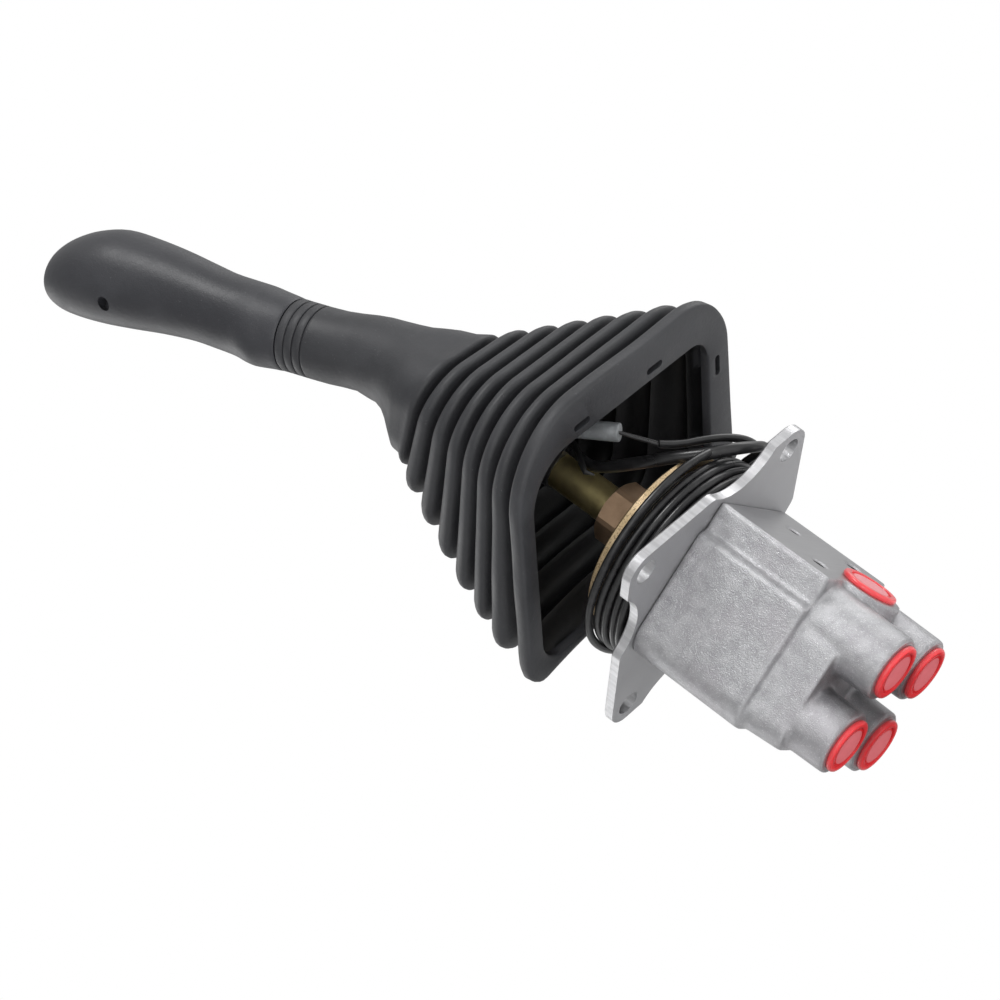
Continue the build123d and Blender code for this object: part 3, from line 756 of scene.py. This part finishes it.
def makeBoot():
    mesh = bmesh.new()
    paintedShade = mesh.verts.layers.float.new("paintedShade")
    steps = (0.0, 0.1, 0.2, 0.29, 0.36, 0.42, 0.46, 0.5, 0.54, 0.58, 0.64, 0.71, 0.8, 0.9)
    folds = [(k + step, foldDip(step)) for k in range(boot["folds"]) for step in steps] + [(boot["folds"], 0)]
    rings = []
    for along, radius in reversed(neckRings()):
        rings.append(addRing(mesh, bootPlane(along, 0), radius, radius, boot["sides"]))
    for along, ahead, tilt, half, corner in reversed(funnel):
        plane = bootPlane(along, ahead, 0, math.radians(tilt))
        rings.append(addRing(mesh, plane, half, corner, boot["sides"]))
    for k, dip in reversed(folds):
        rings.append(foldRing(mesh, k, 0, dip))
        # painted shade: each outer ring is darkened by how deep it dips into a valley
        for vert in rings[-1]:
            vert[paintedShade] = boot["valleyShade"] * dip
    thick = boot["rimThick"]
    for inset, lift in boot["rimEdge"]:
        rings.append(foldRing(mesh, 0, inset, 0, lift - thick))
    for grow, push in ((0.0007, -thick), (0.0, 0.0006 - thick), (0.0, -0.0004), (0.0006, 0)):
        rings.append(openingRing(mesh, grow, push))
    outer = len(rings)
    for k, dip in folds[1:]:
        rings.append(foldRing(mesh, k, boot["wall"], dip))
    for along, ahead, tilt, half, corner in funnel[:8]:
        plane = bootPlane(along, ahead, 0, math.radians(tilt))
        rings.append(addRing(mesh, plane, half - boot["wall"], corner - boot["wall"], boot["sides"]))
    bridgeRings(mesh, rings)
    # painted shade: the inner wall is fully darkened
    for vert in [vert for ring in rings[outer:] for vert in ring]:
        vert[paintedShade] = 1
    piece = finishPiece("bellows", mesh, "lever", "boot", 50, ["boot_bellows"])
    cutAway(piece, slotCutters())
    piece.data.shade_smooth()
    piece.data.set_sharp_from_angle(angle=math.radians(50))


makeBoot()
print("bellows made")

# transport caps

cap = {
    "radius": 0.0103, "thick": 0.002, "discRadius": 0.0072, "depth": 0.0785, "pitch": 0.030,
    # in the casting's own frame
    "sidePort": (0.030, 0, -0.051), "rearPort": (0, 0.032, -0.051),
}


def capPlaces():
    half = cap["pitch"] / 2
    corners = [Vector((x, y, -cap["depth"])) for x in (-half, half) for y in (-half, half)]
    places = [(castingFrame @ corner, -up) for corner in corners]
    places.append((castingFrame @ Vector(cap["sidePort"]), castingX))
    places.append((castingFrame @ Vector(cap["rearPort"]), castingY))
    return places


def makeCaps():
    rim, disc = bmesh.new(), bmesh.new()
    r, t, d = cap["radius"], cap["thick"], cap["discRadius"]
    flange = [
        (0.00585, -0.0015), (0.00585, 0), (r - 0.0004, 0), (r, 0.0005), (r, t - 0.0007),
        (r - 0.0003, t - 0.0002), (r - 0.0009, t), (d + 0.0009, t), (d + 0.0007, t - 0.0002),
        (d + 0.0007, t - 0.0007), (d, t - 0.0007), (d - 0.0002, t - 0.0004), (d - 0.0004, t - 0.0003),
    ]
    plate = [(d - 0.0004, t - 0.0003), (0.004, t - 0.00022), (0, t - 0.0002)]
    scratch = bpy.data.meshes.new("scratch")
    for place, axis in capPlaces():
        for profile, target in ((flange, rim), (plate, disc)):
            part = spun(profile, place, axis)
            part.to_mesh(scratch)
            part.free()
            target.from_mesh(scratch)
    bpy.data.meshes.remove(scratch)
    finishPiece("capRims", rim, "root", "cap", 50, ["port_caps"])
    finishPiece("capDiscs", disc, "root", "capDisc", 50)


makeCaps()
print("caps made")

# grip: a smooth rubber handle that ends in a soft swelling at the neck

grip = {
    # along, ahead and radius
    "stations": [
        (0.0624, 0.0, 0.0139), (0.0640, 0.0, 0.0143), (0.070, 0.0002, 0.0147), (0.076, 0.0005, 0.0150),
        (0.084, 0.0009, 0.0148), (0.094, 0.0013, 0.0147), (0.104, 0.0021, 0.0152), (0.118, 0.0026, 0.0166),
        (0.132, 0.0024, 0.0180), (0.145, 0.0019, 0.0187), (0.156, 0.0003, 0.0174), (0.1645, -0.0016, 0.0149),
        (0.1705, -0.0031, 0.0115), (0.1738, -0.0041, 0.0078), (0.1753, -0.0046, 0.0040),
    ],
    "ringsPerStep": 4,
    "sides": 96,
    "start": (0.0624, 0.0122),  # along and radius of the open end
    "tipRise": 0.0007,
    "bulge": {
        "from": 0.066, "rise": 0.008, "along": 0.0745, "reach": 0.0075, "height": 0.0011,
        "angle": math.radians(215),
    },
    "hole": {"along": 0.1390, "ahead": -0.0090, "radius": 0.0025, "from": 0.009, "to": 0.024},
}


def smoothStep(t, p, q, r, s):
    square, cube = 2 * p - 5 * q + 4 * r - s, 3 * q - p - 3 * r + s
    return 0.5 * (2 * q + (r - p) * t + square * t**2 + cube * t**3)


def smoothStations(stations, steps):
    # a Catmull-Rom curve through the stations
    padded = [stations[0]] + stations + [stations[-1]]
    rings = []
    for a, b, c, d in zip(padded, padded[1:], padded[2:], padded[3:]):
        for i in range(steps):
            t = i / steps
            rings.append(tuple(smoothStep(t, *values) for values in zip(a, b, c, d)))
    return rings + [stations[-1]]


def makeGrip():
    mesh = bmesh.new()
    along, radius = grip["start"]
    rings = [addRing(mesh, leverFrame @ Matrix.Translation((0, 0, along)), radius, radius, grip["sides"])]
    bulge = grip["bulge"]
    for along, ahead, radius in smoothStations(grip["stations"], grip["ringsPerStep"]):
        made = bmesh.ops.create_circle(mesh, segments=grip["sides"], radius=radius)["verts"]
        far = (along - bulge["along"]) / bulge["reach"]
        # the swelling ends sharply on the grip's side
        size = bulge["height"] / (1 + math.exp(4.5 * (far - 0.75))) if along > bulge["from"] else 0
        size *= min(1, max(0, (along - bulge["from"]) / bulge["rise"]))
        for vert in made:
            angle = math.atan2(vert.co.y, vert.co.x)
            lift = size * max(0, math.cos(angle - bulge["angle"])) ** 1.5
            vert.co = leverFrame @ (vert.co.normalized() * (radius + lift) + Vector((ahead, 0, along)))
        rings.append(made)
    bridgeRings(mesh, rings)
    tip = rings[-1]
    middle = sum((vert.co for vert in tip), Vector()) / len(tip) + leverAlong * grip["tipRise"]
    bmesh.ops.contextual_create(mesh, geom=tip)
    poked = bmesh.ops.poke(mesh, faces=[face for face in mesh.faces if len(face.verts) > 4])
    poked["verts"][0].co = middle
    piece = finishPiece("gripBody", mesh, "lever", "grip", 42, ["grip"])
    hole = grip["hole"]
    radius, low, high = hole["radius"], hole["from"], hole["to"]
    profile = [(0, low), (radius, low), (radius, high), (0, high)]
    drilled = spun(profile, onLever(hole["along"], hole["ahead"]), -leverSide, 32)
    bmesh.ops.recalc_face_normals(drilled, faces=drilled.faces)
    cutAway(piece, drilled)


makeGrip()
print("grip made")

# cable: down from the lever, round the coil, and back up to its connector

cable = {
    "radius": 0.0015,
    "lead": [
        (2.7, -9.7, 67.0), (2.6, -10.2, 57.5), (2.2, -15.6, 50.5), (4.2, -24.5, 40.2),
        (9.6, -32.0, 29.5), (16.3, -37.0, 19.5), (24.3, -38.5, 13.0), (32.3, -35.0, 10.5),
        (38.5, -29.5, 11.0), (41.5, -23.0, 13.0),
    ],
    # radius at each point of the lead, whose jacket is thicker than the bare turns
    "jacket": (0.0016, 0.0019, 0.0022, 0.0023, 0.0023, 0.0023, 0.0022, 0.0020, 0.0018, 0.00165),
    "bareFrom": 8,  # the point of the lead where the cord begins
    "bend": 3,  # the point where the lead's two lengths meet
    "turnRadius": 39.1,
    "turnTop": 18.2,
    "turnPitch": 3.12,
    "turns": 4,
    "steps": 20,
    "startAngle": math.radians(-24),
    "wander": ((0.35, 2.3), (0.25, 0.71)),  # how far the turns stray, and how often
    "outerRadius": 42.2,
    "outerSteps": 19,
    "outerClimb": 12.8,
    "tail": [
        (36.6, -20.5, 21.5), (38.8, -12.0, 24.0), (40.2, -6.0, 25.0), (41.8, -2.0, 24.4), (44.2, -0.6, 22.8),
        (46.4, -2.8, 21.0), (46.8, -8.0, 19.2), (46.0, -14.5, 17.8), (43.6, -20.8, 17.6), (39.0, -26.0, 19.8),
        (32.0, -28.8, 24.4), (23.3, -30.4, 28.8), (16.1, -31.9, 31.5), (10.4, -33.6, 35.8),
    ],
}


def cableRoute():
    points = list(cable["lead"][cable["bareFrom"]:])
    steps = cable["steps"]
    for i in range(cable["turns"] * steps + 1):
        angle = cable["startAngle"] + 2 * math.pi * i / steps
        height = cable["turnTop"] - cable["turnPitch"] * i / steps
        wander = [size * math.sin(pace * angle) for size, pace in cable["wander"]]
        radius = cable["turnRadius"] + sum(wander)
        points.append((radius * math.cos(angle), radius * math.sin(angle), height))
    # the last turn lies outside the others and rises on the far side
    low = cable["turnTop"] - cable["turnPitch"] * cable["turns"]
    for i in range(1, cable["outerSteps"] + 1):
        angle = cable["startAngle"] + 2 * math.pi * i / steps
        climb = min(1, max(0, (i - 2) / 9))
        radius = between(cable["turnRadius"], cable["outerRadius"], min(1, i / 3))
        height = low + cable["outerClimb"] * climb**2 * (3 - 2 * climb)
        points.append((radius * math.cos(angle), radius * math.sin(angle), height))
    points += cable["tail"]
    return [Vector(point) / 1000 for point in points]


def cordCurve(name, route, radius, body, finish):
    data = bpy.data.curves.new(name, "CURVE")
    data.dimensions = "3D"
    data.bevel_depth = radius
    data.bevel_resolution = 4
    data.resolution_u = 6
    data.use_fill_caps = True
    spline = data.splines.new("NURBS")
    spline.points.add(len(route) - 1)
    for point, place in zip(spline.points, route):
        point.co = (*place, 1)
    spline.order_u = 3
    spline.use_endpoint_u = True
    data.materials.append(finishes[finish])
    piece = bpy.data.objects.new(name, data)
    bpy.context.collection.objects.link(piece)
    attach(piece, body)
    return piece


def sweptRings(mesh, route, sections, sides):
    # rings along a route, turned with it and without twist; each section is a half width and half thickness
    rings = []
    heading = (route[1] - route[0]).normalized()
    turn = heading.to_track_quat("Z", "Y")
    for i, (place, (wide, thick)) in enumerate(zip(route, sections)):
        onward = (route[min(i + 1, len(route) - 1)] - route[max(i - 1, 0)]).normalized()
        turn = heading.rotation_difference(onward) @ turn
        heading = onward
        made = bmesh.ops.create_circle(mesh, segments=sides, radius=1)["verts"]
        for vert in made:
            vert.co = place + turn @ Vector((vert.co.x * wide, vert.co.y * thick, 0))
        rings.append(made)
    bridgeRings(mesh, rings)
    for ring in (rings[0], rings[-1]):
        bmesh.ops.contextual_create(mesh, geom=ring)


def makeLead():
    # two lengths meet above the swash plate
    stations = [(*point, 1000 * radius) for point, radius in zip(cable["lead"], cable["jacket"])]
    steps = 8
    curve = smoothStations(stations, steps)
    places = [Vector(point[:3]) / 1000 for point in curve]
    sections = [(point[3] / 1000, point[3] / 1000) for point in curve]
    middle = cable["bend"] * steps
    upper = bmesh.new()
    sweptRings(upper, places[: middle + 1], sections[: middle + 1], 20)
    leadHigh = finishPiece("leadHigh", upper, None, "jacket", 50, ["cable_lead"])
    lower = bmesh.new()
    sweptRings(lower, places[middle:], sections[middle:], 20)
    leadLow = finishPiece("leadLow", lower, None, "jacket", 50)
    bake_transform(leadHigh)
    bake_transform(leadLow)


def curveLength(route):
    # length of the order 3 spline: its middle runs are quadratic arcs between the runs' midpoints
    total, steps = 0, 8
    knots = [route[0]] + [(a + b) / 2 for a, b in zip(route[1:], route[2:])][:-1] + [route[-1]]
    for start, corner, end in zip(knots, route[1:-1], knots[1:]):
        last = start
        for i in range(1, steps + 1):
            t = i / steps
            here = start * (1 - t) ** 2 + corner * 2 * t * (1 - t) + end * t**2
            total += (here - last).length
            last = here
    return total


makeLead()
route = cableRoute()
cord = cordCurve("cable", route, cable["radius"], "root", "jacket")
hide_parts("cable_coil", "cable_tail")
curveLength(route)
print("cable laid", round(curveLength(route), 3))

# the tail of the cable tie, cut off and twisted

tieTail = {
    # place, half width and half thickness
    "stations": [
        ((4.5, -11.2, 70.2), 1.2, 0.45), ((3.2, -13.4, 67.0), 1.2, 0.45), ((0.6, -14.9, 62.8), 1.1, 0.45),
        ((-2.6, -15.2, 58.4), 1.3, 0.5), ((-4.2, -14.2, 55.0), 1.0, 0.5), ((-2.4, -13.6, 52.2), 0.3, 0.3),
    ],
}


def makeTieTail():
    mesh = bmesh.new()
    places = [Vector(place) / 1000 for place, wide, thick in tieTail["stations"]]
    sections = [(wide / 1000, thick / 1000) for place, wide, thick in tieTail["stations"]]
    sweptRings(mesh, places, sections, 12)
    finishPiece("tieTail", mesh, "lever", "jacket", 50)


makeTieTail()
print("tie tail made")
